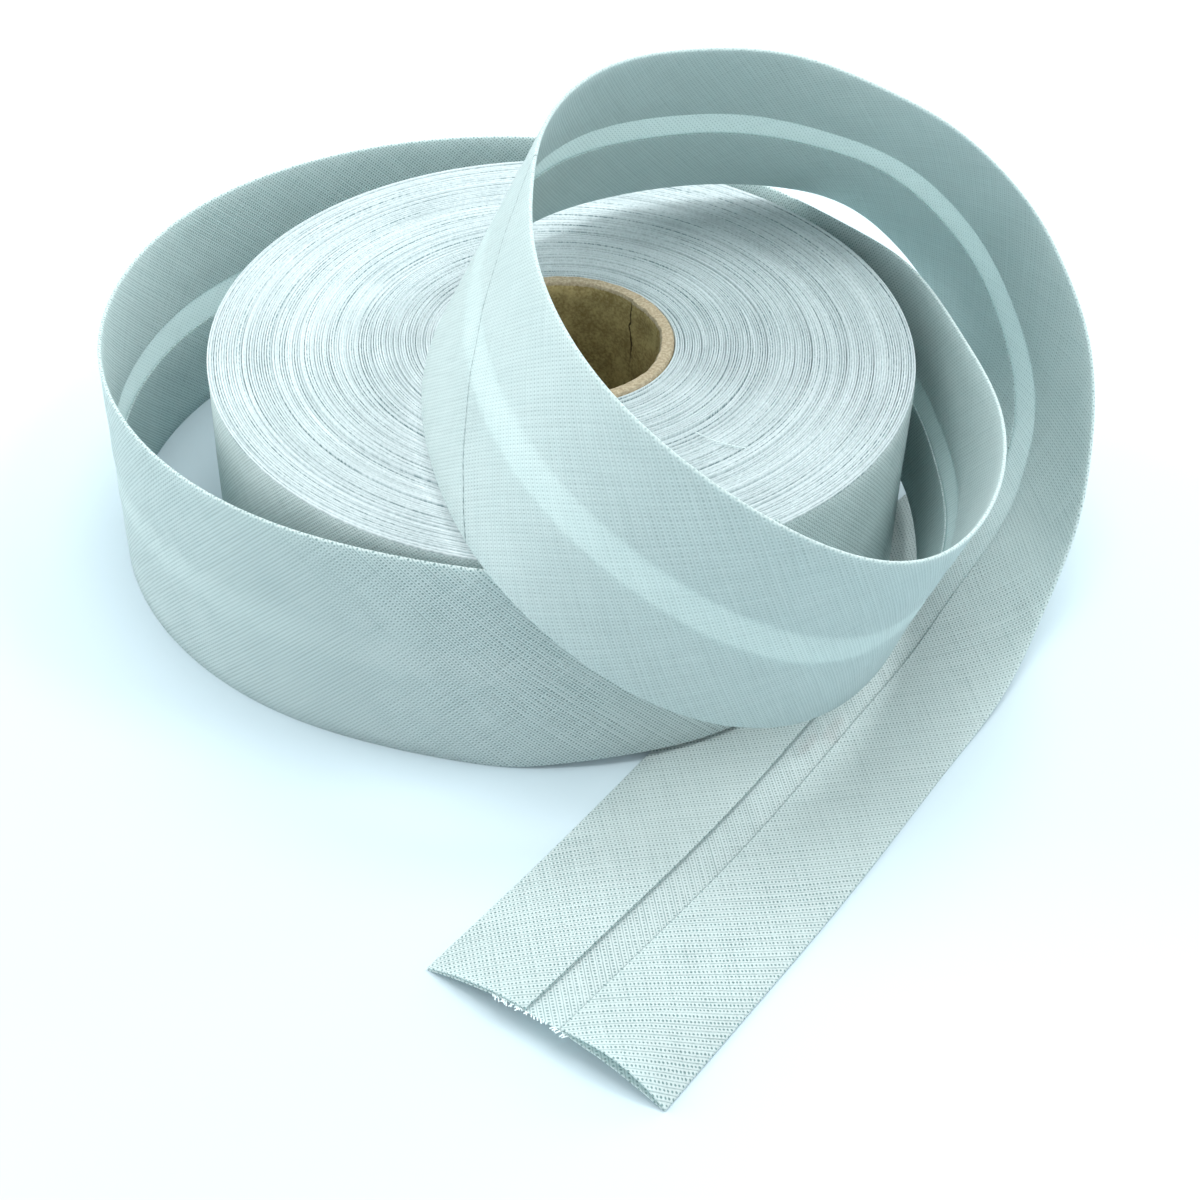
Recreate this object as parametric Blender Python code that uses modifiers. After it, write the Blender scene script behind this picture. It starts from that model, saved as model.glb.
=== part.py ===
"""A roll of folded bias tape on a cardboard core, with a loose turn, a raised loop and a cut end beside it.

Metres, +Z up. The roll stands on its side face, so its axis is vertical. The tape leaves the roll at the
front, runs once round it as a loose standing turn, climbs over the roll as a leaning loop, and comes down
on the right to lie flat on the surface, where it passes under the roll's rim and ends in a cut.
"""
import math

import bmesh
import bpy
import numpy as np
from mathutils import Vector

MM = 0.001
CONTACT_GAP = 0.3 * MM

# Folded tape: one layer down the middle, and a turned-in flap on either side of it
TAPE_WIDTH = 40.0 * MM
MIDDLE_STRIPE = 6.0 * MM
MIDDLE_THICKNESS = 1.0 * MM
FLAP_THICKNESS = 1.4 * MM
COLUMNS_PER_FLAP = 3
SECTIONS_PER_ROW = 4

# Wound roll and its core
ROLL_RADIUS = 58.3 * MM
CORE_RADIUS = 18.5 * MM
CORE_BORE_RADIUS = 16.3 * MM
CORE_EDGE_ROUND = 0.4 * MM
ROLL_EDGE_ROUND = 0.6 * MM
ROUND_STEPS = 64

# Top face of the roll: bands of turns that stand a little high or low, each with a groove round its outside
BAND_GROOVE_WIDTH = 0.9 * MM
BAND_GROOVE_DEPTH = 0.5 * MM
WOUND_BANDS = (
    # outer radius, drop below the full width
    (24.0, 0.3),
    (31.5, 0.0),
    (36.0, 0.4),
    (43.5, 0.1),
    (47.0, 0.5),
    (53.5, 0.2),
    (58.3, 0.0),
)

# Relief in the roll's underside, where the flat end of the tape runs beneath its rim
RELIEF_HEADROOM = 0.8 * MM
RELIEF_DEPTH = FLAP_THICKNESS + RELIEF_HEADROOM
RELIEF_LINE_POINT = (40.0, -21.0)
RELIEF_HEADING_DEG = 55.0
RELIEF_SIDE_CLEARANCE = 1.2 * MM
RELIEF_LENGTH = 140.0 * MM
RELIEF_REACH = 60.0 * MM

# Loose turn that stands on its lower edge, clockwise from the front of the roll
STANDING_TURN = (
    # azimuth in degrees, radius of the outer face, height of the lower edge
    (-57, 60.2, 1.8),
    (-68, 60.2, 1.8),
    (-80, 60.3, 1.8),
    (-92, 60.6, 0.6),
    (-104, 61.2, 0.0),
    (-127, 64.8, 0.0),
    (-149, 70.4, 0.0),
    (-169, 74.9, 0.0),
    (-188, 77.0, 0.0),
    (-208, 76.8, 0.0),
    (-229, 73.5, 0.0),
    (-252, 69.0, 0.0),
    (-276, 65.2, 0.0),
    (-300, 62.8, 0.0),
    (-324, 62.0, 0.4),
)

# Right-hand turn, climb over the front rim, loop over the roll and down to the surface.
# Both edges lie on the tape's plain outer face. Bow is how far the middle stands off the line between them.
RAISED_LOOP = (
    # upper edge x, y, z, lower edge x, y, z, bow
    (60.5, 19.0, 42.0, 61.0, 16.5, 2.2, 0.0),
    (65.5, -4.0, 44.0, 62.5, -8.0, 4.5, 0.0),
    (68.0, -27.0, 46.0, 58.5, -30.0, 7.5, 0.0),
    (64.0, -50.0, 48.5, 49.5, -50.5, 11.0, 0.0),
    (54.0, -68.5, 52.0, 37.5, -65.5, 16.0, 0.0),
    (40.0, -77.5, 58.0, 23.0, -73.5, 23.0, 0.0),
    (22.5, -77.0, 67.5, 6.5, -73.5, 32.0, 0.0),
    (5.5, -66.0, 77.0, -9.0, -64.5, 41.5, 0.0),
    (-3.5, -44.0, 80.5, -18.5, -43.5, 43.5, 0.0),
    (-5.0, -21.0, 80.5, -22.0, -19.0, 44.0, 0.0),
    (-2.5, -0.5, 81.0, -18.0, 5.5, 44.5, 0.0),
    (7.0, 16.0, 81.0, -8.0, 25.5, 45.0, 0.0),
    (21.5, 26.0, 79.0, 7.0, 38.5, 44.0, 0.0),
    (37.5, 28.5, 77.0, 23.5, 44.5, 43.5, 0.0),
    (52.5, 24.0, 73.5, 39.0, 45.0, 43.0, 0.0),
    (66.0, 22.0, 66.5, 53.5, 45.5, 38.0, 0.0),
    (78.5, 21.5, 54.5, 66.5, 46.0, 25.0, 0.0),
    (85.0, 15.5, 46.0, 72.5, 39.0, 16.0, 0.0),
    (89.0, 7.5, 38.0, 74.0, 30.0, 8.5, -0.8),
    (90.0, -1.0, 31.0, 72.0, 21.0, 3.5, -1.8),
    (89.0, -9.5, 24.5, 66.5, 13.0, 0.5, -2.8),
    (86.0, -20.0, 16.5, 59.0, 4.5, 0.0, -3.4),
    (80.0, -31.0, 7.0, 49.5, -7.5, 0.0, -1.7),
)

# Flat end that lies on the surface, up to the cut
FLAT_END = (
    # upper edge x, y, z, lower edge x, y, z, bow
    (72.5, -44.0, 1.5, 40.0, -21.0, 0.0, -0.3),
    (63.0, -57.5, 0.0, 30.5, -34.5, 0.0, 0.0),
    (53.0, -72.0, 0.0, 20.5, -49.0, 0.0, 0.0),
    (41.5, -88.5, 0.0, 9.0, -65.0, 0.0, 0.6),
    (28.5, -106.0, 0.0, -4.0, -82.5, 0.0, 2.2),
    (15.0, -124.0, 0.0, -18.0, -100.5, 0.0, 4.0),
)


def clear_scene():
    for item in list(bpy.data.objects):
        bpy.data.objects.remove(item, do_unlink=True)


def new_collection(name):
    collection = bpy.data.collections.new(name)
    bpy.context.scene.collection.children.link(collection)
    return collection


def principled(name, colour, roughness, metallic=0.0):
    material = bpy.data.materials.new(name)
    material.use_nodes = True
    shader = material.node_tree.nodes["Principled BSDF"]
    shader.inputs["Base Color"].default_value = (*colour, 1.0)
    shader.inputs["Roughness"].default_value = roughness
    shader.inputs["Metallic"].default_value = metallic
    return material


def add_object(name, mesh, collection, material=None):
    item = bpy.data.objects.new(name, mesh)
    collection.objects.link(item)
    if material:
        mesh.materials.append(material)
    return item


def smooth_shade(mesh, sharp_angle_deg=35):
    mesh.shade_smooth()
    mesh.set_sharp_from_angle(angle=math.radians(sharp_angle_deg))


def turned_ring(name, profile, collection, material):
    """Turn a closed profile of (radius, height), listed down its outer side, round the Z axis."""
    count = len(profile)
    mesh = bpy.data.meshes.new(name)
    points = [(radius, 0.0, height) for radius, height in profile]
    edges = [(i, (i + 1) % count) for i in range(count)]
    mesh.from_pydata(points, edges, [])
    ring = add_object(name, mesh, collection, material)
    screw = ring.modifiers.new("Turn", "SCREW")
    screw.axis = "Z"
    screw.steps = ROUND_STEPS
    screw.render_steps = ROUND_STEPS
    screw.use_merge_vertices = True
    screw.merge_threshold = 0.00001
    screw.use_smooth_shade = True
    return ring


def roll_profile():
    """Closed section of the wound turns: straight sides, a flat underside and a banded top."""
    inner = CORE_RADIUS + CONTACT_GAP
    soft = ROLL_EDGE_ROUND
    first_top = TAPE_WIDTH - WOUND_BANDS[0][1] * MM
    last_top = TAPE_WIDTH - WOUND_BANDS[-1][1] * MM
    points = [
        (ROLL_RADIUS - soft, last_top),
        (ROLL_RADIUS, last_top - soft),
        (ROLL_RADIUS, soft),
        (ROLL_RADIUS - soft, 0.0),
        (inner, 0.0),
        (inner, first_top),
    ]
    half_groove = BAND_GROOVE_WIDTH / 2
    for (radius, drop), (_, next_drop) in zip(WOUND_BANDS, WOUND_BANDS[1:]):
        groove = radius * MM
        floor = TAPE_WIDTH - max(drop, next_drop) * MM - BAND_GROOVE_DEPTH
        points.append((groove - half_groove, TAPE_WIDTH - drop * MM))
        points.append((groove, floor))
        points.append((groove + half_groove, TAPE_WIDTH - next_drop * MM))
    return points


def make_relief_cutter(collection):
    """Box that clears the tape's flat end where it runs beneath the roll's rim."""
    bpy.ops.mesh.primitive_cube_add(size=1.0)
    cutter = bpy.context.active_object
    cutter.name = "relief_cutter"
    for owner in list(cutter.users_collection):
        owner.objects.unlink(cutter)
    collection.objects.link(cutter)
    heading = math.radians(RELIEF_HEADING_DEG)
    outward = Vector((math.sin(heading), -math.cos(heading), 0.0))
    line_point = Vector((RELIEF_LINE_POINT[0] * MM, RELIEF_LINE_POINT[1] * MM, 0.0))
    cutter.scale = (RELIEF_LENGTH, RELIEF_REACH, 2 * RELIEF_DEPTH)
    cutter.rotation_euler = (0.0, 0.0, heading)
    cutter.location = line_point + outward * (RELIEF_REACH / 2 - RELIEF_SIDE_CLEARANCE)
    cutter.hide_render = True
    cutter.display_type = "WIRE"
    return cutter


def make_wound_roll(collection, cutters):
    material = principled("tape_edges", (0.66, 0.76, 0.77), 0.85)
    roll = turned_ring("wound_roll", roll_profile(), collection, material)
    cut = roll.modifiers.new("Tape relief", "BOOLEAN")
    cut.operation = "DIFFERENCE"
    cut.solver = "EXACT"
    cut.object = make_relief_cutter(cutters)
    return roll


def make_core(collection):
    material = principled("cardboard", (0.42, 0.32, 0.20), 0.9)
    outer, bore, soft = CORE_RADIUS, CORE_BORE_RADIUS, CORE_EDGE_ROUND
    profile = [
        (outer - soft, TAPE_WIDTH),
        (outer, TAPE_WIDTH - soft),
        (outer, soft),
        (outer - soft, 0.0),
        (bore + soft, 0.0),
        (bore, soft),
        (bore, TAPE_WIDTH - soft),
        (bore + soft, TAPE_WIDTH),
    ]
    return turned_ring("cardboard_core", profile, collection, material)


def standing_turn_rows():
    """The standing turn's rows, in the same columns as the other two tables."""
    width = TAPE_WIDTH / MM
    rows = []
    for azimuth, radius, foot in STANDING_TURN:
        x = radius * math.cos(math.radians(azimuth))
        y = radius * math.sin(math.radians(azimuth))
        rows.append((x, y, foot + width, x, y, foot, 0.0))
    return rows


def natural_spline(rows, steps):
    """Read a natural cubic spline through the rows, with the given number of steps from row to row."""
    values = np.array(rows, dtype=float)
    count = len(values)
    system = np.eye(count)
    right_side = np.zeros_like(values)
    for i in range(1, count - 1):
        system[i, i - 1:i + 2] = (1.0, 4.0, 1.0)
        right_side[i] = 6.0 * (values[i + 1] - 2.0 * values[i] + values[i - 1])
    bend = np.linalg.solve(system, right_side)
    read = []
    for i in range(count - 1):
        for step in range(steps):
            t = step / steps
            u = 1.0 - t
            straight = u * values[i] + t * values[i + 1]
            curved = ((u**3 - u) * bend[i] + (t**3 - t) * bend[i + 1]) / 6.0
            read.append(straight + curved)
    read.append(values[-1])
    return np.array(read)


def tape_profile():
    """Closed section of the folded tape, as (distance across, depth from the outer face)."""
    half = TAPE_WIDTH / 2
    stripe = MIDDLE_STRIPE / 2
    flap = [half - (half - stripe) * i / COLUMNS_PER_FLAP for i in range(COLUMNS_PER_FLAP + 1)]
    lower = [-across for across in flap]
    upper = flap[::-1]
    outer_face = [(across, 0.0) for across in lower + upper]
    upper_flap = [(across, FLAP_THICKNESS) for across in flap]
    stripe_floor = [(stripe, MIDDLE_THICKNESS), (-stripe, MIDDLE_THICKNESS)]
    lower_flap = [(across, FLAP_THICKNESS) for across in lower[::-1]]
    return outer_face + upper_flap + stripe_floor + lower_flap


def make_loose_tape(collection):
    """Loft the folded section along the standing turn, the raised loop and the flat end."""
    material = principled("tape_cloth", (0.55, 0.67, 0.68), 0.8)
    rows = standing_turn_rows() + list(RAISED_LOOP) + list(FLAT_END)
    read = natural_spline(rows, SECTIONS_PER_ROW)
    upper_edge = read[:, 0:3] * MM
    lower_edge = read[:, 3:6] * MM
    bow = read[:, 6] * MM
    centre = (upper_edge + lower_edge) / 2
    along = np.gradient(centre, axis=0)
    profile = tape_profile()
    half = TAPE_WIDTH / 2

    loft = bmesh.new()
    rings = []
    for i in range(len(read)):
        across_axis = Vector(upper_edge[i] - lower_edge[i])
        half_here = across_axis.length / 2
        across_axis.normalize()
        inward = Vector(along[i]).cross(across_axis).normalized()
        ring = []
        for across, depth in profile:
            share = across / half
            stand_off = bow[i] * (1.0 - share * share) + depth
            place = Vector(centre[i]) + across_axis * (share * half_here) + inward * stand_off
            place.z = max(place.z, 0.0)
            ring.append(loft.verts.new(place))
        rings.append(ring)
    sides = len(profile)
    for ring, following in zip(rings, rings[1:]):
        for j in range(sides):
            k = (j + 1) % sides
            loft.faces.new((ring[j], ring[k], following[k], following[j]))
    loft.faces.new(rings[0])
    loft.faces.new(rings[-1])
    bmesh.ops.recalc_face_normals(loft, faces=loft.faces)
    mesh = bpy.data.meshes.new("loose_tape")
    loft.to_mesh(mesh)
    loft.free()
    smooth_shade(mesh)
    return add_object("loose_tape", mesh, collection, material)


def stand_on_origin(outermost, others, collection):
    """Hang every piece on an empty, moved so that the origin is under the middle of the outermost one."""
    points = [vertex.co for vertex in outermost.data.vertices]
    middle_x = (min(p.x for p in points) + max(p.x for p in points)) / 2
    middle_y = (min(p.y for p in points) + max(p.y for p in points)) / 2
    placement = bpy.data.objects.new("placement", None)
    collection.objects.link(placement)
    placement.location = (-middle_x, -middle_y, 0.0)
    for piece in (outermost, *others):
        piece.parent = placement


clear_scene()
model = new_collection("bias_tape_roll")
cutters = new_collection("cutters")
wound_roll = make_wound_roll(model, cutters)
core = make_core(model)
loose_tape = make_loose_tape(model)
stand_on_origin(loose_tape, [wound_roll, core, *cutters.objects], model)
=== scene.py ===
"""The looks of a roll of bias tape: its core, its wound turns and the loose tape over it."""
import math

import bmesh
import bpy
import numpy as np
from mathutils import Matrix, Vector


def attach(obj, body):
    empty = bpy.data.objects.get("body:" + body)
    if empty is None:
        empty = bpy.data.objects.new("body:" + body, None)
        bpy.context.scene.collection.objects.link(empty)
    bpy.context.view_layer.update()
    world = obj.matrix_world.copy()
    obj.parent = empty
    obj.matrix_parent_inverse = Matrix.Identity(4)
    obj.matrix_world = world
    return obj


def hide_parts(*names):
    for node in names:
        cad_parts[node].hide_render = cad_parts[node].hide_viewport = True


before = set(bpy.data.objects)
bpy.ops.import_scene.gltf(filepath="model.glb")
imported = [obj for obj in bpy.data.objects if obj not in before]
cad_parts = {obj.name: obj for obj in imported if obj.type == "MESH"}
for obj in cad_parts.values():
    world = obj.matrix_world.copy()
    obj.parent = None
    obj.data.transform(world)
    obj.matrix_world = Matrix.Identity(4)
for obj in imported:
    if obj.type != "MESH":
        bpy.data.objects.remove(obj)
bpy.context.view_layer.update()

# Camera
# The photograph's view, from a pinhole fitted to the roll's rim, its core and the upright turn.
# It looks steeply down from in front, with the roll's axis a little right of it.
MM = 0.001
CAMERA_PLACE = (-0.0065, -0.25993, 0.23639)
CAMERA_HEADING_DEG = 1.438
CAMERA_DOWN_DEG = 41.39
CAMERA_LEAN_DEG = 1.675
CAMERA_LENS = 62.76

heading, down, lean = (
    math.radians(angle) for angle in (CAMERA_HEADING_DEG, CAMERA_DOWN_DEG, CAMERA_LEAN_DEG)
)
camera_data = bpy.data.cameras.new("camera")
camera_data.sensor_width = 36.0
camera_data.lens = CAMERA_LENS
camera = bpy.data.objects.new("camera", camera_data)
bpy.context.scene.collection.objects.link(camera)
aim = Matrix.Rotation(-heading, 4, "Z") @ Matrix.Rotation(math.pi / 2 - down, 4, "X")
camera.matrix_world = Matrix.Translation(CAMERA_PLACE) @ aim @ Matrix.Rotation(lean, 4, "Z")
bpy.context.scene.camera = camera

# Cardboard core
# A tube of grey-brown board, wound in a spiral from strips of paper and cut to length, so its ends
# show paler, slightly furred plies. The innermost paper ends in a lap that stands off the wall.
ROLL_AXIS = Vector((-6.7 * MM, 28.726 * MM, 0.0))
CORE_HEIGHT = 40.0 * MM
CORE_RADIUS = 18.5 * MM
CORE_BORE_RADIUS = 16.3 * MM
CORE_STEPS = 180
CORE_WALL_CUTS = 12
LAP_AZIMUTH_DEG = 44.0
LAP_RISE = 0.5 * MM
LAP_SPREAD_DEG = 70.0
LAP_SPIRAL = 0.006
END_CHAMFER = 0.4 * MM
NEAR_BORE = 0.35 * MM
CUT_END_FROM = 0.9 * CORE_HEIGHT
FUR_COARSE = 0.11 * MM
FUR_FINE = 0.05 * MM
CUT_UNEVEN = 0.06 * MM
CREASE_HALF = 0.30 * MM
CREASE_WANDER = 2.5 * MM
CREASE_TOP = 9.0 * MM
CREASE_END = 15.0 * MM
PULP_SIZE = 0.5 * MM
STAIN_SIZE = 4.0 * MM
BOARD_RELIEF = 0.15 * MM
BOARD_PALE = (0.51, 0.435, 0.31, 1.0)
BOARD_DARK = (0.33, 0.275, 0.18, 1.0)
WALL_PALE = (0.46, 0.375, 0.175, 1.0)
WALL_DARK = (0.24, 0.185, 0.075, 1.0)
CREASE_SHADE = (0.07, 0.05, 0.02, 1.0)
random = np.random.RandomState(7)


class Dye:
    """One socket of a finish. Arithmetic on it adds Math nodes, and add() makes any other node."""

    def __init__(self, tree, socket=None):
        self.tree = tree
        self.socket = socket

    def add(self, kind, settings=(), inputs=(), output=0):
        node = self.tree.nodes.new(kind)
        for name, value in dict(settings).items():
            setattr(node, name, value)
        for name, value in dict(inputs).items():
            if isinstance(value, Dye):
                self.tree.links.new(value.socket, node.inputs[name])
            else:
                node.inputs[name].default_value = value
        return Dye(self.tree, node.outputs[output])

    def maths(self, operation, *values):
        return self.add("ShaderNodeMath", {"operation": operation}, enumerate(values))

    def __add__(self, other):
        return self.maths("ADD", self, other)

    def __radd__(self, other):
        return self.maths("ADD", other, self)

    def __sub__(self, other):
        return self.maths("SUBTRACT", self, other)

    def __rsub__(self, other):
        return self.maths("SUBTRACT", other, self)

    def __mul__(self, other):
        return self.maths("MULTIPLY", self, other)

    def __rmul__(self, other):
        return self.maths("MULTIPLY", other, self)

    def __abs__(self):
        return self.maths("ABSOLUTE", self)

    def fade(self, low, high):
        """0 where this value is at low, 1 at high, and a smooth step between them."""
        settings = {"interpolation_type": "SMOOTHSTEP", "clamp": True}
        return self.add("ShaderNodeMapRange", settings, {0: self, 1: low, 2: high})

    def blend(self, first, second):
        """The first colour where this value is 0, and the second where it is 1."""
        settings = {"data_type": "RGBA", "clamp_factor": True}
        return self.add("ShaderNodeMix", settings, {0: self, 6: first, 7: second}, output=2)

    def noise(self, place, size, detail=2.0):
        """Cloudy values about 0.5, each cloud about size across, read at a place in metres."""
        scale = {"operation": "SCALE"}
        sized = self.add("ShaderNodeVectorMath", scale, {0: place, "Scale": 1.0 / size})
        return self.add("ShaderNodeTexNoise", (), {"Vector": sized, "Scale": 1.0, "Detail": detail})


def new_finish(name, roughness):
    material = bpy.data.materials.new(name)
    material.use_nodes = True
    shader = material.node_tree.nodes["Principled BSDF"]
    shader.inputs["Roughness"].default_value = roughness
    shader.inputs["Specular IOR Level"].default_value = 0.25
    return material, shader, Dye(material.node_tree)


def dress(shader, dye, colour, height, bump_distance):
    """Give the shader its colour, and a bump whose height runs from 0 to 1 over the distance."""
    bump = dye.add("ShaderNodeBump", (), {"Height": height, "Distance": bump_distance})
    dye.tree.links.new(colour.socket, shader.inputs["Base Color"])
    dye.tree.links.new(bump.socket, shader.inputs["Normal"])


def new_piece(name, shape, finishes, stands_for=(), sharp_deg=60.0):
    """Make the bmesh a smooth-shaded piece that rides on the part's one body."""
    mesh = bpy.data.meshes.new(name)
    shape.to_mesh(mesh)
    shape.free()
    mesh.shade_smooth()
    mesh.set_sharp_from_angle(angle=math.radians(sharp_deg))
    for finish in finishes:
        mesh.materials.append(finish)
    piece = bpy.data.objects.new(name, mesh)
    bpy.context.scene.collection.objects.link(piece)
    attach(piece, "root")
    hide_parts(*stands_for)
    return piece


def places_of(shape):
    return np.array([vertex.co for vertex in shape.verts])


def move_to(shape, places):
    for vertex, place in zip(shape.verts, places):
        vertex.co = place


def ripple(angle, waves, strength):
    """A wandering line round a circle: a few whole waves of random size and phase, added up."""
    total = np.zeros_like(angle)
    for count in waves:
        total += random.normal() * np.sin(count * angle + random.uniform(0.0, 2.0 * math.pi))
    return total * strength / math.sqrt(len(waves))


core = bmesh.new()
outline = (
    (CORE_RADIUS, END_CHAMFER),
    (CORE_RADIUS, CORE_HEIGHT - END_CHAMFER),
    (CORE_RADIUS - 0.3 * MM, CORE_HEIGHT),
    (CORE_BORE_RADIUS + 1.1 * MM, CORE_HEIGHT - 0.05 * MM),
    (CORE_BORE_RADIUS + 0.3 * MM, CORE_HEIGHT - 0.05 * MM),
    (CORE_BORE_RADIUS, CORE_HEIGHT - 0.45 * MM),
    (CORE_BORE_RADIUS, END_CHAMFER),
    (CORE_BORE_RADIUS + END_CHAMFER, 0.0),
    (CORE_RADIUS - END_CHAMFER, 0.0),
)
corners = [core.verts.new((radius, 0.0, height)) for radius, height in outline]
sides = [core.edges.new((a, b)) for a, b in zip(corners, corners[1:] + corners[:1])]
bmesh.ops.subdivide_edges(core, edges=[sides[5]], cuts=CORE_WALL_CUTS)
bmesh.ops.spin(
    core, geom=core.verts[:] + core.edges[:], axis=(0, 0, 1), cent=(0, 0, 0),
    angle=2 * math.pi, steps=CORE_STEPS, use_merge=True,
)
bmesh.ops.remove_doubles(core, verts=core.verts[:], dist=0.01 * MM)
bmesh.ops.recalc_face_normals(core, faces=core.faces[:])
places = places_of(core)
radius = np.hypot(places[:, 0], places[:, 1])
angle = np.arctan2(places[:, 1], places[:, 0])
height = places[:, 2]
bored = radius < CORE_BORE_RADIUS + NEAR_BORE
near_top = np.clip((height - 0.7 * CORE_HEIGHT) / (0.3 * CORE_HEIGHT), 0.0, 1.0)
lap_angle = math.radians(LAP_AZIMUTH_DEG) - angle - LAP_SPIRAL * (CORE_HEIGHT - height) / MM
past_lap = np.mod(lap_angle, 2 * math.pi)
lap = np.clip(1.0 - past_lap / math.radians(LAP_SPREAD_DEG), 0.0, 1.0) ** 2
radius -= bored * lap * LAP_RISE * (0.4 + 0.6 * near_top)
furred = ripple(angle, (7, 11, 16, 23, 34), FUR_COARSE) + ripple(angle, (47, 61, 73), FUR_FINE)
radius += (height > CUT_END_FROM) * bored * furred
height += (height > CUT_END_FROM) * ripple(angle, (9, 17, 29, 41), CUT_UNEVEN)
move_to(core, np.stack([
    ROLL_AXIS.x + radius * np.cos(angle),
    ROLL_AXIS.y + radius * np.sin(angle),
    height,
], axis=1))

board, board_shader, dye = new_finish("brown_board", 0.95)
object_place = dye.add("ShaderNodeTexCoord", output=3)
across_x, across_y, up = (
    dye.add("ShaderNodeSeparateXYZ", (), {0: object_place}, output=i) for i in range(3)
)
from_axis_x = across_x - ROLL_AXIS.x
from_axis_y = across_y - ROLL_AXIS.y
pulp = dye.noise(object_place, PULP_SIZE, 3.0)
stain = dye.noise(object_place, STAIN_SIZE, 4.0)
cut_end = pulp.fade(0.3, 0.75).blend(BOARD_DARK, BOARD_PALE)
bore_wall = (0.55 * stain + 0.45 * pulp).fade(0.35, 0.65).blend(WALL_DARK, WALL_PALE)
lap_heading = (math.cos(math.radians(LAP_AZIMUTH_DEG)), math.sin(math.radians(LAP_AZIMUTH_DEG)))
off_lap = from_axis_x * lap_heading[1] - from_axis_y * lap_heading[0]
off_lap = off_lap + (stain - 0.5) * CREASE_WANDER
towards_lap = from_axis_x * lap_heading[0] + from_axis_y * lap_heading[1]
crease = abs(off_lap).fade(CREASE_HALF, 0.08 * MM) * towards_lap.fade(0.0, 1.0 * MM)
crease = crease * up.fade(CORE_HEIGHT - CREASE_END, CORE_HEIGHT - CREASE_TOP)
bore_wall = crease.blend(bore_wall, CREASE_SHADE)
on_end = (up + 0.3 * MM * pulp).fade(CORE_HEIGHT - 0.5 * MM, CORE_HEIGHT - 0.3 * MM)
board_height = 0.6 * pulp + 0.4 * stain - crease
dress(board_shader, dye, on_end.blend(bore_wall, cut_end), board_height, BOARD_RELIEF)
new_piece("core_tube", core, [board], ["cardboard_core"], 40.0)

# Wound turns
# About a hundred turns of the folded tape, each two or three cloths thick, wound by machine.
# The folded edges make the pale ribbed face; some turns stand higher, and gaps show between others,
# with shade painted along them as well.
TAPE_WIDTH = 40.0 * MM
TURNS = 98
POINTS_A_TURN = 4
WOUND_STEPS = 208
ROLL_RADIUS = 58.3 * MM
WOUND_INNER = CORE_RADIUS + 0.12 * MM
TURN_ARCH = 0.07 * MM
TURN_GAP = 0.30 * MM
SIDE_CUTS = 12
UNDERSIDE_CUTS = 26
TURN_UNEVEN = 0.17 * MM
WANDER_RINGS = 9
WANDER = 0.05 * MM
SIDE_WRINKLE = 0.10 * MM
FINE_WRINKLE = 0.05 * MM
LIFT_RUN = 3.3 * MM
LIFT_BEFORE = 4.5 * MM
MAP_RADIUS = 40.0 * MM
WOUND_BANDS = (
    # outer radius, drop below the full width
    (24.0, 0.3),
    (31.5, 0.0),
    (36.0, 0.4),
    (43.5, 0.1),
    (47.0, 0.5),
    (53.5, 0.2),
    (58.3, 0.0),
)
OPEN_GAPS = (
    # radius, extra depth, azimuth where it is deepest, how far round it reaches
    (20.3, 1.3, -40, 75),
    (21.6, 1.0, 5, 60),
    (22.9, 1.2, 20, 80),
    (24.4, 0.9, -60, 60),
    (27.2, 1.0, 30, 90),
    (30.6, 0.7, -50, 70),
    (34.2, 1.1, 15, 80),
    (34.9, 0.7, -70, 60),
    (38.6, 0.8, 35, 60),
    (41.2, 0.9, 10, 70),
    (44.0, 0.7, -60, 45),
    (46.9, 1.0, 30, 70),
    (49.1, 0.8, -55, 60),
    (51.3, 1.0, 20, 60),
    (54.4, 0.7, -60, 50),
    (55.9, 0.8, -30, 60),
    (56.9, 0.8, -45, 60),
)
RELIEF_DEPTH = 2.2 * MM
RELIEF_POINT = (40.0, -21.0)
RELIEF_HEADING_DEG = 55.0
FOLD_PALE = (0.625, 0.708, 0.722, 1.0)
# The darker fold colour is also the painted shade in the gaps between turns.
FOLD_DARK_AND_GAP_SHADE = (0.155, 0.23, 0.244, 1.0)

wound = bmesh.new()
corners = [
    wound.verts.new(corner)
    for corner in (
        (WOUND_INNER, 0.0, 0.0),
        (WOUND_INNER, 0.0, TAPE_WIDTH),
        (ROLL_RADIUS, 0.0, TAPE_WIDTH),
        (ROLL_RADIUS, 0.0, 0.0),
    )
]
sides = [wound.edges.new((a, b)) for a, b in zip(corners, corners[1:] + corners[:1])]
bmesh.ops.subdivide_edges(wound, edges=[sides[1]], cuts=TURNS * POINTS_A_TURN - 1)
bmesh.ops.subdivide_edges(wound, edges=[sides[2]], cuts=SIDE_CUTS)
bmesh.ops.subdivide_edges(wound, edges=[sides[3]], cuts=UNDERSIDE_CUTS)
bmesh.ops.spin(
    wound, geom=wound.verts[:] + wound.edges[:], axis=(0, 0, 1), cent=(0, 0, 0),
    angle=2 * math.pi, steps=WOUND_STEPS, use_merge=True,
)
bmesh.ops.remove_doubles(wound, verts=wound.verts[:], dist=0.01 * MM)
bmesh.ops.recalc_face_normals(wound, faces=wound.faces[:])

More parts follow.
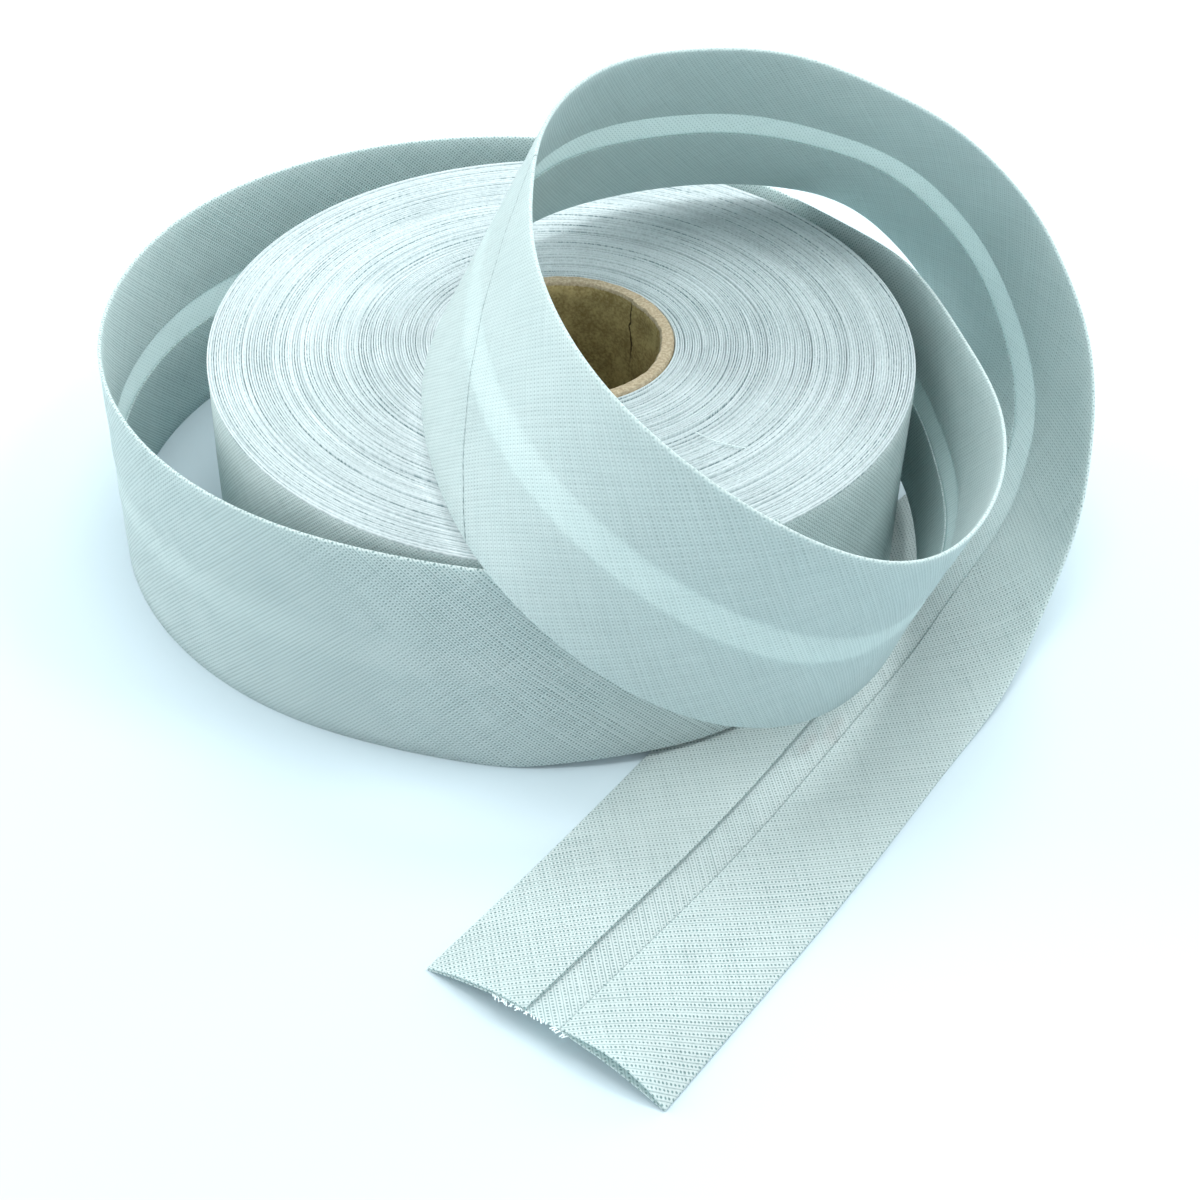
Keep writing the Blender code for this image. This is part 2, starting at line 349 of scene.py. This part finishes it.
# The section's plain top becomes one small arch a turn, at the height of its band
places = places_of(wound)
radius = np.hypot(places[:, 0], places[:, 1])
angle = np.arctan2(places[:, 1], places[:, 0])
height = places[:, 2]
pitch = (ROLL_RADIUS - WOUND_INNER) / TURNS
top = height > TAPE_WIDTH - 0.1 * MM
column = np.rint((radius - WOUND_INNER) / pitch * POINTS_A_TURN).astype(int)
on_edge = column % POINTS_A_TURN
turn = np.clip(column // POINTS_A_TURN, 0, TURNS - 1)
ring = WOUND_INNER + (turn + 0.5) * pitch
band_drop = np.zeros_like(radius)
for band_radius, drop in reversed(WOUND_BANDS):
    band_drop[ring < band_radius * MM] = drop * MM
own_drop = np.abs(random.normal(0.0, TURN_UNEVEN, TURNS))
wander = np.stack([ripple(angle, (1, 2, 3, 5), WANDER) for _ in range(WANDER_RINGS)])
wander_at = ring / ROLL_RADIUS * (WANDER_RINGS - 1.0)
low = np.floor(wander_at).astype(int)
share = wander_at - low
row = np.arange(len(radius))
slow = wander[low, row] * (1.0 - share)
slow = slow + wander[np.minimum(low + 1, WANDER_RINGS - 1), row] * share
crest = TAPE_WIDTH - band_drop - own_drop[turn] + np.minimum(slow, 0.0)
gap_turn = column // POINTS_A_TURN
gap_depth = TURN_GAP * (0.6 + 0.8 * random.uniform(size=TURNS + 1))[gap_turn]
for gap_radius, extra, azimuth, reach in OPEN_GAPS:
    at_turn = round((gap_radius * MM - WOUND_INNER) / pitch)
    away = np.abs(np.mod(np.degrees(angle) - azimuth + 180.0, 360.0) - 180.0)
    gap_depth += (gap_turn == at_turn) * extra * MM * np.clip(1.0 - (away / reach) ** 2, 0.08, 1.0)
shape_drop = np.where(on_edge == 0, gap_depth, np.where(on_edge == 2, 0.0, TURN_ARCH))
height = np.where(top, crest - shape_drop, height)
radius = radius + top * slow * 1.6 * (column > 0) * (column < TURNS * POINTS_A_TURN)

# The outer turn wrinkles a little, and the underside lifts over the tape's flat end
side = (radius > ROLL_RADIUS - 0.01 * MM) & ~top
wrinkle = ripple(angle, (9, 14, 22, 31), SIDE_WRINKLE)
wrinkle = wrinkle + ripple(angle + height / (9.0 * MM), (17, 26), FINE_WRINKLE)
radius = radius + side * wrinkle
outward = (math.sin(math.radians(RELIEF_HEADING_DEG)), -math.cos(math.radians(RELIEF_HEADING_DEG)))
past_line = (
    (radius * np.cos(angle) - RELIEF_POINT[0] * MM) * outward[0]
    + (radius * np.sin(angle) - RELIEF_POINT[1] * MM) * outward[1]
)
lift = np.clip((past_line + LIFT_BEFORE) / LIFT_RUN, 0.0, 1.0)
height = np.where(height < 0.1 * MM, RELIEF_DEPTH * lift * lift * (3.0 - 2.0 * lift), height)
move_to(wound, np.stack([
    ROLL_AXIS.x + radius * np.cos(angle),
    ROLL_AXIS.y + radius * np.sin(angle),
    height,
], axis=1))

# Each face is mapped in metres: round the roll, and up its side or out over its turns
cut_map = wound.loops.layers.uv.new("cut")
wound.verts.index_update()
for face in wound.faces:
    middle = face.calc_center_median() - ROLL_AXIS
    middle_angle = math.atan2(middle.y, middle.x)
    is_side = abs(face.normal.z) < 0.5 and math.hypot(middle.x, middle.y) > ROLL_RADIUS - 1.0 * MM
    is_side = is_side and middle.z < TAPE_WIDTH - 1.0 * MM
    face.material_index = 1 if is_side else 0
    for loop in face.loops:
        i = loop.vert.index
        turned = math.remainder(angle[i] - middle_angle, 2 * math.pi) + middle_angle
        if is_side:
            loop[cut_map].uv = (turned * ROLL_RADIUS, height[i] - TAPE_WIDTH / 2)
        else:
            out_over_turns = WOUND_INNER + column[i] * pitch / POINTS_A_TURN
            loop[cut_map].uv = (turned * MAP_RADIUS, out_over_turns)

folds, folds_shader, dye = new_finish("packed_folds", 0.9)
cut_place = dye.add("ShaderNodeUVMap", {"uv_map": "cut"})
outward_place = dye.add("ShaderNodeSeparateXYZ", (), {0: cut_place}, output=1)


def drawn_out(dye, place, shortened, size, detail=1.0):
    """Clouds drawn out along the turns, read on a smaller ring so that they close with no join."""
    round_roll, outward = (
        dye.add("ShaderNodeSeparateXYZ", (), {0: place}, output=i) for i in range(2)
    )
    turned = round_roll * (1.0 / MAP_RADIUS)
    ring_x = dye.maths("COSINE", turned) * (shortened * MAP_RADIUS)
    ring_y = dye.maths("SINE", turned) * (shortened * MAP_RADIUS)
    ring_place = dye.add("ShaderNodeCombineXYZ", (), {0: ring_x, 1: ring_y, 2: outward})
    return dye.noise(ring_place, size, detail)


# Painted shade: a dark dotted line along the gap between each two turns, stronger along some of
# them, darkens the folds' colour.
between_turns = dye.maths("COSINE", (outward_place - WOUND_INNER) * (2 * math.pi / pitch))
between_turns = between_turns.fade(0.1, 1.0)
thread_ends = drawn_out(dye, cut_place, 0.6, 0.30 * MM)
each_turn = drawn_out(dye, cut_place, 0.012, 0.42 * MM)
open_line = drawn_out(dye, cut_place, 0.02, 0.55 * MM).fade(0.48, 0.62)
patches = drawn_out(dye, cut_place, 1.0, 9.0 * MM)
painted_gap_shade = between_turns * (0.22 + 0.78 * open_line) * (0.35 + 0.65 * thread_ends.fade(0.6, 0.4))
tone = 0.74 + 0.42 * (thread_ends - 0.5) + 0.38 * (each_turn - 0.5)
tone = tone + 0.2 * (patches - 0.5) - 0.85 * painted_gap_shade
dress(folds_shader, dye, tone.blend(FOLD_DARK_AND_GAP_SHADE, FOLD_PALE), thread_ends, 0.1 * MM)

# Plain-weave cotton, cut on the bias so that its threads run at 45 degrees to the tape
WARP_PITCH = 0.56 * MM
WEFT_PITCH = 0.466 * MM
THREAD_WANDER = 0.5
CLOTH_PALE = (0.80, 0.895, 0.89, 1.0)
CLOTH_DEEP = (0.176, 0.275, 0.28, 1.0)
# How much darker the roll's side cloth is painted than the loose tape, as painted shade.
SIDE_PAINTED_SHADE = 0.27
SIDE_CLEARNESS = 0.3
WEAVE_RELIEF = 0.08 * MM


def woven(dye, clearness):
    """Tone and height of the weave, with its two thread directions, from the map in metres."""
    place = dye.add("ShaderNodeUVMap", {"uv_map": "cut"})
    along, across = (dye.add("ShaderNodeSeparateXYZ", (), {0: place}, output=i) for i in range(2))
    warp = (along + across) * (math.sqrt(0.5) / WARP_PITCH)
    weft = (along - across) * (math.sqrt(0.5) / WEFT_PITCH)
    slubs = []
    for lengthwise, crosswise in ((warp, weft), (weft, warp)):
        stretched = dye.add("ShaderNodeCombineXYZ", (), {0: lengthwise * 0.04, 1: crosswise * 0.8})
        slubs.append(dye.noise(stretched, 1.0, 1.0))
    weft = weft + THREAD_WANDER * (slubs[0] - 0.5)
    warp = warp + THREAD_WANDER * (slubs[1] - 0.5)
    over_under = 0.85 + 0.95 * dye.maths("COSINE", weft * math.pi)
    rib = 0.8 * dye.maths("COSINE", weft * (2 * math.pi))
    hole = (rib + dye.maths("COSINE", warp * (2 * math.pi)) * over_under).fade(-0.6, 1.8)
    cloud = dye.noise(place, 14.0 * MM, 2.0)
    fibre = dye.noise(place, 0.3 * MM, 1.0)
    thread = 0.5 * slubs[0] + 0.5 * slubs[1]
    threads = 1.1 * (thread - 0.5) + 0.5 * (fibre - 0.5) - 1.3 * (hole - 0.33)
    tone = 0.77 + threads * clearness + 0.12 * (cloud - 0.5)
    return along, across, tone, 0.6 - 0.6 * hole + 0.4 * thread


side_cloth, side_shader, dye = new_finish("outer_turn_cloth", 0.9)
along, across, tone, raised = woven(dye, SIDE_CLEARNESS)
# Painted shade: the roll's side is the tape's cloth with its tone lowered by a fixed step.
side_colour = (tone - SIDE_PAINTED_SHADE).blend(CLOTH_DEEP, CLOTH_PALE)
dress(side_shader, dye, side_colour, raised, WEAVE_RELIEF)
new_piece("wound_turns", wound, [folds, side_cloth], ["wound_roll"], 75.0)

# Loose tape
# The end of the same tape: cotton cut 74 mm wide, its edges pressed in as flaps, one layer between.
# It stands round the roll on its fold, loops over it leaning outwards, and lies flat to its cut.
CLOTH_THICKNESS = 0.24 * MM
FOLD_RADIUS = 0.19 * MM
STRIPE_HALF = 3.0 * MM
STATIONS_A_ROW = 18
FLAP_CUTS = 7
RAW_STRIP = 0.1 * MM
RAW_STRIP_ROWS = 0.005
FOLD_CUTS = 4
HALF_BASE_CUTS = 7
STANDING_TURN = (
    # azimuth in degrees, radius of the outer face, height of the lower edge
    (-57, 59.4, 1.8),
    (-68, 59.8, 1.8),
    (-80, 60.2, 1.8),
    (-92, 60.6, 0.6),
    (-104, 61.2, 0.0),
    (-127, 64.8, 0.0),
    (-149, 70.4, 0.0),
    (-169, 74.9, 0.0),
    (-188, 77.0, 0.0),
    (-208, 76.8, 0.0),
    (-229, 73.5, 0.0),
    (-252, 69.0, 0.0),
    (-276, 65.2, 0.0),
    (-300, 62.8, 0.0),
    (-324, 62.0, 0.4),
)
RAISED_LOOP = (
    # upper edge x, y, z, lower edge x, y, z, bow
    (60.5, 19.0, 42.0, 61.0, 16.5, 2.2, 0.0),
    (65.5, -4.0, 44.0, 62.5, -8.0, 4.5, 0.0),
    (68.0, -27.0, 46.0, 58.5, -30.0, 7.5, 0.0),
    (64.0, -50.0, 48.5, 49.5, -50.5, 11.0, 0.0),
    (54.0, -68.5, 52.0, 37.5, -65.5, 16.0, 0.0),
    (40.0, -77.5, 58.0, 23.0, -73.5, 23.0, 0.0),
    (22.5, -77.0, 67.5, 6.5, -73.5, 32.0, 0.0),
    (5.5, -66.0, 77.0, -9.0, -64.5, 41.5, 0.0),
    (-3.5, -44.0, 80.5, -18.5, -43.5, 43.5, 0.0),
    (-5.0, -21.0, 80.5, -22.0, -19.0, 44.0, 0.0),
    (-2.5, -0.5, 81.0, -18.0, 5.5, 44.5, 0.0),
    (7.0, 16.0, 81.0, -8.0, 25.5, 45.0, 0.0),
    (21.5, 26.0, 79.0, 7.0, 38.5, 44.0, 0.0),
    (37.5, 28.5, 77.0, 23.5, 44.5, 43.5, 0.0),
    (52.5, 24.0, 73.5, 39.0, 45.0, 43.0, 0.0),
    (66.0, 22.0, 66.5, 53.5, 45.5, 38.0, 0.0),
    (78.5, 21.5, 54.5, 66.5, 46.0, 25.0, 0.0),
    (85.0, 15.5, 46.0, 72.5, 39.0, 16.0, 0.0),
    (89.0, 7.5, 38.0, 74.0, 30.0, 8.5, -0.8),
    (90.0, -1.0, 31.0, 72.0, 21.0, 3.5, -1.8),
    (89.0, -9.5, 24.5, 66.5, 13.0, 0.5, -2.8),
    (86.0, -20.0, 16.5, 59.0, 4.5, 0.0, -3.4),
    (80.0, -31.0, 7.0, 49.5, -7.5, 0.0, -1.7),
)
FLAT_END = (
    # upper edge x, y, z, lower edge x, y, z, bow
    (72.5, -44.0, 1.5, 40.0, -21.0, 0.0, -0.3),
    (63.0, -57.5, 0.0, 30.5, -34.5, 0.0, 0.0),
    (53.0, -72.0, 0.0, 20.5, -49.0, 0.0, 0.0),
    (41.5, -88.5, 0.0, 9.0, -65.0, 0.0, 0.6),
    (28.5, -106.0, 0.0, -4.0, -82.5, 0.0, 2.2),
    (15.0, -124.0, 0.0, -18.0, -100.5, 0.0, 4.0),
)
PARTING_HEIGHT = 1.6 * MM
LOWER_PARTING = 0.25 * MM
PARTING_LENGTH = 26.0 * MM
FLAP_STAND_OFF = 0.12 * MM
RUFFLE = 0.08 * MM

rows = []
for azimuth, radius, foot in STANDING_TURN:
    x = radius * math.cos(math.radians(azimuth))
    y = radius * math.sin(math.radians(azimuth))
    rows.append((x, y, foot + 40.0, x, y, foot, 0.0))
rows = np.array(rows + list(RAISED_LOOP) + list(FLAT_END)) * MM

# A smooth curve through the rows: the bend at each row, then places read between the rows
count = len(rows)
system = np.eye(count)
right_side = np.zeros_like(rows)
for i in range(1, count - 1):
    system[i, i - 1:i + 2] = (1.0, 4.0, 1.0)
    right_side[i] = 6.0 * (rows[i + 1] - 2.0 * rows[i] + rows[i - 1])
bend = np.linalg.solve(system, right_side)
stations = (count - 1) * STATIONS_A_ROW + 1
at = np.arange(stations) / STATIONS_A_ROW
at[1] = RAW_STRIP_ROWS
at[-2] = at[-1] - RAW_STRIP_ROWS
before = np.minimum(at.astype(int), count - 2)
t = (at - before)[:, None]
u = 1.0 - t
read = u * rows[before] + t * rows[before + 1]
read += ((u**3 - u) * bend[before] + (t**3 - t) * bend[before + 1]) / 6.0

upper_edge = read[:, 0:3] + np.array(ROLL_AXIS)
lower_edge = read[:, 3:6] + np.array(ROLL_AXIS)
bow = read[:, 6]
centre = (upper_edge + lower_edge) / 2
width_here = np.linalg.norm(upper_edge - lower_edge, axis=1)
across_axis = (upper_edge - lower_edge) / width_here[:, None]
inward = np.cross(np.gradient(centre, axis=0), across_axis)
inward /= np.linalg.norm(inward, axis=1)[:, None]
step_lengths = np.linalg.norm(np.diff(centre, axis=0), axis=1)
length_to = np.concatenate([[0.0], np.cumsum(step_lengths)])
tape_length = float(length_to[-1])


def length_at_row(row):
    return float(np.interp(row, at, length_to))


# Half of the cloth's section, from the middle out to the fold and back in to the flap's free edge
# A narrow strip by each raw edge keeps the flap's shading level up to it
half_width = TAPE_WIDTH / 2
fold_start = half_width - FOLD_RADIUS
fold_end = fold_start + math.pi * FOLD_RADIUS
cloth_half = fold_end + fold_start - STRIPE_HALF
half_section = np.concatenate([
    np.linspace(0.0, STRIPE_HALF, 3),
    np.linspace(STRIPE_HALF, fold_start, HALF_BASE_CUTS)[1:],
    np.linspace(fold_start, fold_end, FOLD_CUTS + 1)[1:],
    np.linspace(fold_end, cloth_half - RAW_STRIP, FLAP_CUTS)[1:],
    [cloth_half],
])
section = np.concatenate([-half_section[:0:-1], half_section])

tape = bmesh.new()
bmesh.ops.create_grid(tape, x_segments=stations - 1, y_segments=len(section) - 1, size=0.5)
places = places_of(tape)
station = np.rint((places[:, 0] + 0.5) * (stations - 1)).astype(int)
column = np.rint((places[:, 1] + 0.5) * (len(section) - 1)).astype(int)
cut_across = section[column]
cut_along = length_to[station]
hand = np.sign(cut_across)
out = np.abs(cut_across)
swing = np.clip((out - fold_start) / FOLD_RADIUS, 0.0, math.pi)
across = np.where(out < fold_start, out, fold_start + FOLD_RADIUS * np.sin(swing))
across = np.where(out > fold_end, fold_start - (out - fold_end), across)
depth = CLOTH_THICKNESS / 2 + FOLD_RADIUS * (1.0 - np.cos(swing))
share = across / half_width

# Flaps stand a hair off the layer beneath, and the upper one parts from it at the cut
flap_share = np.clip((out - fold_end) / (cloth_half - fold_end), 0.0, 1.0)
to_cut = np.clip(1.0 - (tape_length - cut_along) / PARTING_LENGTH, 0.0, 1.0)
parting = np.where(hand > 0, PARTING_HEIGHT, LOWER_PARTING) * to_cut**2
parting = parting * np.sin(math.pi * flap_share**0.8)
loose_flap = FLAP_STAND_OFF * np.sin(0.5 * math.pi * flap_share)
depth += parting + loose_flap

# Soft unevenness of pressed cloth
ruffle = RUFFLE * np.sin(cut_along / (9.0 * MM) + 14.0 * share * hand) * (1.0 - share**2)
stand_off = bow[station] * (1.0 - share**2) + depth + ruffle
places = (
    centre[station]
    + across_axis[station] * (hand * share * width_here[station] / 2)[:, None]
    + inward[station] * stand_off[:, None]
)
places[:, 2] = np.maximum(places[:, 2], CLOTH_THICKNESS / 2)
move_to(tape, places)
bmesh.ops.reverse_faces(tape, faces=tape.faces[:])
cut_map = tape.loops.layers.uv.new("cut")
tape.verts.index_update()
for face in tape.faces:
    for loop in face.loops:
        i = loop.vert.index
        loop[cut_map].uv = (cut_along[i], cut_across[i])

SEAM_LOW = length_at_row(22.4)
SEAM_HIGH = length_at_row(24.4)
SEAM_SLOPE = (SEAM_HIGH - SEAM_LOW) / TAPE_WIDTH
SEAM_MIDDLE = (SEAM_LOW + SEAM_HIGH) / 2
STITCH_LENGTH = 1.15 * MM
# Colour of the painted glow on the single-layer stripe, as of light through the cloth.
STRIPE_PAINTED_GLOW = (0.92, 0.98, 0.965, 1.0)
STRIPE_THREADS = (0.50, 0.60, 0.60, 1.0)
# The seam's dark stitching colour, also used as painted shade along the flaps' edges.
SEAM_DARK_AND_EDGE_SHADE = (0.13, 0.19, 0.205, 1.0)
LIGHT_THROUGH = 0.45
THROUGH_COLOUR = (0.65, 0.77, 0.765, 1.0)


def tape_finish(name, edge_line, standing_weave, painted_glow_spans):
    """The cloth's finish on one of its sides, with a painted glow on its single-layer stripe over
    the spans, as if lit through.

    On the side where the flaps lie, edge_line paints shade along their edges and paints the cloth
    lighter, as if lit from behind. standing_weave is how much clearer the weave shows on the
    standing turn.
    """
    material, shader, dye = new_finish(name, 0.88)
    place = dye.add("ShaderNodeUVMap", {"uv_map": "cut"})
    to_flat_end = dye.add("ShaderNodeSeparateXYZ", (), {0: place}, output=0)
    over_cloth = dye.add("ShaderNodeSeparateXYZ", (), {0: place}, output=1)
    in_stripe = abs(over_cloth).fade(STRIPE_HALF + 0.1 * MM, STRIPE_HALF - 0.15 * MM)
    flat = to_flat_end.fade(length_at_row(30), length_at_row(38))
    standing = to_flat_end.fade(length_at_row(18), length_at_row(12))
    clearness = 0.40 + edge_line * in_stripe + flat * 0.55 + standing * standing_weave
    along, across, tone, raised = woven(dye, clearness)
    cloth = tone.blend(CLOTH_DEEP, CLOTH_PALE)
    # Painted shade: a thin dark line on the layer beneath each flap's free edge, on the flat end.
    by_edge = abs(over_cloth).fade(STRIPE_HALF - 0.55 * MM, STRIPE_HALF - 0.15 * MM)
    flap_edge_painted_shade = in_stripe * by_edge
    cloth = (flap_edge_painted_shade * flat * edge_line).blend(cloth, SEAM_DARK_AND_EDGE_SHADE)
    # Painted light: the flaps' side is lightened all along, and more over the loop's back, as if
    # lit through from behind.
    painted_lit_through = to_flat_end.fade(length_at_row(26), length_at_row(31))
    painted_lit_through = painted_lit_through * to_flat_end.fade(length_at_row(38), length_at_row(35))
    cloth = ((0.12 + 0.28 * painted_lit_through) * edge_line).blend(cloth, STRIPE_PAINTED_GLOW)
    # Painted light: the single-layer stripe is lightened over each span, as a glow of light through
    # the cloth.
    glow = 0.0
    for strength, start, full, fading, end in painted_glow_spans:
        rise = along.fade(length_at_row(start), length_at_row(full))
        fall = along.fade(length_at_row(end), length_at_row(fading))
        glow = rise * fall * strength + glow
    cloth = (in_stripe * glow).blend(cloth, (tone + 0.1).blend(STRIPE_THREADS, STRIPE_PAINTED_GLOW))
    from_seam = abs(along - across * SEAM_SLOPE - SEAM_MIDDLE)
    stitch = dye.maths("SINE", across * (2 * math.pi / STITCH_LENGTH)).fade(-0.7, 0.5)
    seam_line = from_seam.fade(0.30 * MM, 0.12 * MM) * (0.45 + 0.5 * stitch)
    cloth = seam_line.blend(cloth, SEAM_DARK_AND_EDGE_SHADE)
    seam_ridge = from_seam.fade(1.2 * MM, 0.3 * MM)
    dress(shader, dye, cloth, raised - 0.8 * seam_line + 0.4 * seam_ridge, WEAVE_RELIEF)
    through = dye.add("ShaderNodeBsdfTranslucent", (), {"Color": THROUGH_COLOUR})
    both = dye.add("ShaderNodeMixShader", (), {0: LIGHT_THROUGH, 2: through})
    dye.tree.links.new(shader.outputs["BSDF"], both.socket.node.inputs[1])
    dye.tree.links.new(both.socket, dye.tree.nodes["Material Output"].inputs["Surface"])
    return material


# Painted glow on each side's stripe, as spans: strength, then the rows where it starts, is full,
# starts fading and ends.
outer_side = tape_finish(
    "tape_outer_side", 0.0, 1.0, ((0.12, 0.5, 1.5, 11.0, 14.0), (0.10, 16.5, 18.5, 21.5, 23.0)),
)
inner_side = tape_finish(
    "tape_inner_side", 0.6, 0.0, ((0.85, 2.0, 6.0, 14.0, 19.0), (0.60, 14.0, 19.0, 34.0, 37.0)),
)
loose = new_piece("loose_cloth", tape, [outer_side, inner_side], ["loose_tape"], 60.0)
thicken = loose.modifiers.new("Cloth", "SOLIDIFY")
thicken.thickness = CLOTH_THICKNESS
thicken.offset = 0.0
thicken.material_offset = 1
round(2 * cloth_half, 4)

# Loose threads
# The scissor cut leaves short cotton ends along its middle, where the single cloth frays first.
# One longer thread has come away and lies across the roll's turns.
THREAD_RADIUS = 0.10 * MM
THREAD_SIDES = 5
FRAY_COUNT = 46
FRAY_FROM = -8.5 * MM
FRAY_TO = 4.5 * MM
FRAY_SHORT = 0.25 * MM
FRAY_LONG = 0.85 * MM
FRAY_ROOT = 0.3 * MM
FALLEN_THREAD = (
    # x, y, height
    (21.0, -26.0, 40.05),
    (22.4, -27.2, 40.12),
    (24.0, -28.3, 40.12),
    (25.6, -29.0, 40.15),
    (27.0, -29.6, 40.12),
    (28.6, -29.9, 40.08),
)
THREAD_COLOUR = (0.86, 0.95, 0.95, 1.0)
THREAD_SHADE = (0.66, 0.77, 0.77, 1.0)


def lay_thread(shape, path):
    """Add a thread: a small ring drawn out from point to point, and closed at its end."""
    points = [Vector(point) for point in path]
    turn_to = (points[-1] - points[0]).to_track_quat("Z", "Y").to_matrix().to_4x4()
    ring = bmesh.ops.create_circle(
        shape, cap_ends=True, segments=THREAD_SIDES, radius=THREAD_RADIUS,
        matrix=Matrix.Translation(points[0]) @ turn_to,
    )
    rim = ring["verts"][0].link_faces[0].edges[:]
    for here, ahead in zip(points, points[1:]):
        drawn = bmesh.ops.extrude_edge_only(shape, edges=rim)["geom"]
        moved = [part for part in drawn if isinstance(part, bmesh.types.BMVert)]
        rim = [part for part in drawn if isinstance(part, bmesh.types.BMEdge)]
        bmesh.ops.translate(shape, vec=ahead - here, verts=moved)
    bmesh.ops.edgeloop_fill(shape, edges=rim)


threads = bmesh.new()
at_cut = station == stations - 1
cut_order = np.argsort(cut_across[at_cut])
cut_line = places[at_cut][cut_order]
cut_reach = cut_across[at_cut][cut_order]
outwards = Vector(centre[-1] - centre[-4]).normalized()
crosswise = Vector(across_axis[-1])
for _ in range(FRAY_COUNT):
    reach = random.uniform(FRAY_FROM, FRAY_TO)
    root = Vector([float(np.interp(reach, cut_reach, cut_line[:, k])) for k in range(3)])
    lean = random.choice((-1.0, 1.0)) * random.uniform(0.5, 1.1)
    rise = Vector((0.0, 0.0, random.uniform(-0.3, 0.2)))
    heading = (outwards + crosswise * lean + rise).normalized()
    length = random.uniform(FRAY_SHORT, FRAY_LONG)
    droop = Vector((0.0, 0.0, -0.25 * length * random.uniform()))
    bent_end = root + heading * length + droop
    lay_thread(threads, (root - heading * FRAY_ROOT, root + heading * 0.5 * length, bent_end))
lay_thread(threads, np.array(FALLEN_THREAD) * MM + np.array(ROLL_AXIS))
bmesh.ops.recalc_face_normals(threads, faces=threads.faces[:])

cotton, cotton_shader, dye = new_finish("loose_cotton", 0.9)
twist = dye.noise(dye.add("ShaderNodeTexCoord", output=3), 0.15 * MM, 1.0)
dress(cotton_shader, dye, twist.fade(0.3, 0.7).blend(THREAD_SHADE, THREAD_COLOUR), twist, 0.05 * MM)
new_piece("loose_threads", threads, [cotton])

# Floor and light
# A white table in a pale room: a soft light overhead, a smaller lamp above on the right that casts
# the loop's shadow, windows behind and at the left, and a weak fill from the front left.
FLOOR_WHITE = (0.53, 0.64, 0.69, 1.0)
ROOM_LOW = (1.10, 1.16, 1.19, 1.0)
ROOM_HIGH = (0.69, 0.72, 0.735, 1.0)
floor_shape = bmesh.new()
bmesh.ops.create_grid(floor_shape, x_segments=1, y_segments=1, size=3.0)
floor_mesh = bpy.data.meshes.new("floor")
floor_shape.to_mesh(floor_mesh)
floor_shape.free()
floor = bpy.data.objects.new("floor", floor_mesh)
bpy.context.scene.collection.objects.link(floor)
floor_finish, floor_shader, dye = new_finish("white_table", 0.7)
floor_shader.inputs["Base Color"].default_value = FLOOR_WHITE
floor_mesh.materials.append(floor_finish)

world = bpy.data.worlds.new("studio")
bpy.context.scene.world = world
world.use_nodes = True
dye = Dye(world.node_tree)
skyward = dye.add("ShaderNodeSeparateXYZ", (), {0: dye.add("ShaderNodeTexCoord")}, output=2)
room = skyward.fade(-0.1, 0.95).blend(ROOM_LOW, ROOM_HIGH)
world.node_tree.links.new(room.socket, world.node_tree.nodes["Background"].inputs["Color"])


def soft_light(name, place, target, width, height, power):
    data = bpy.data.lights.new(name, "AREA")
    data.shape = "RECTANGLE"
    data.size = width
    data.size_y = height
    data.energy = power
    light = bpy.data.objects.new(name, data)
    light.location = place
    light.rotation_mode = "QUATERNION"
    light.rotation_quaternion = (Vector(target) - Vector(place)).to_track_quat("-Z", "Y")
    bpy.context.scene.collection.objects.link(light)


soft_light("lamp", (0.53, -0.03, 0.85), (0.0, 0.02, 0.03), 0.26, 0.26, 3.2)
soft_light("ceiling_light", (0.0, 0.05, 1.0), (0.0, 0.0, 0.0), 0.5, 0.5, 5.1)
soft_light("rear_window", (0.55, 0.78, 0.45), (0.0, 0.0, 0.03), 0.9, 0.4, 6.3)
soft_light("left_window", (-0.90, 0.24, 0.52), (0.0, 0.0, 0.05), 0.7, 0.5, 6.2)
soft_light("left_fill", (-0.85, -0.35, 0.35), (0.0, 0.0, 0.04), 0.6, 0.5, 1.2)
bpy.context.scene.view_settings.view_transform = "Standard"
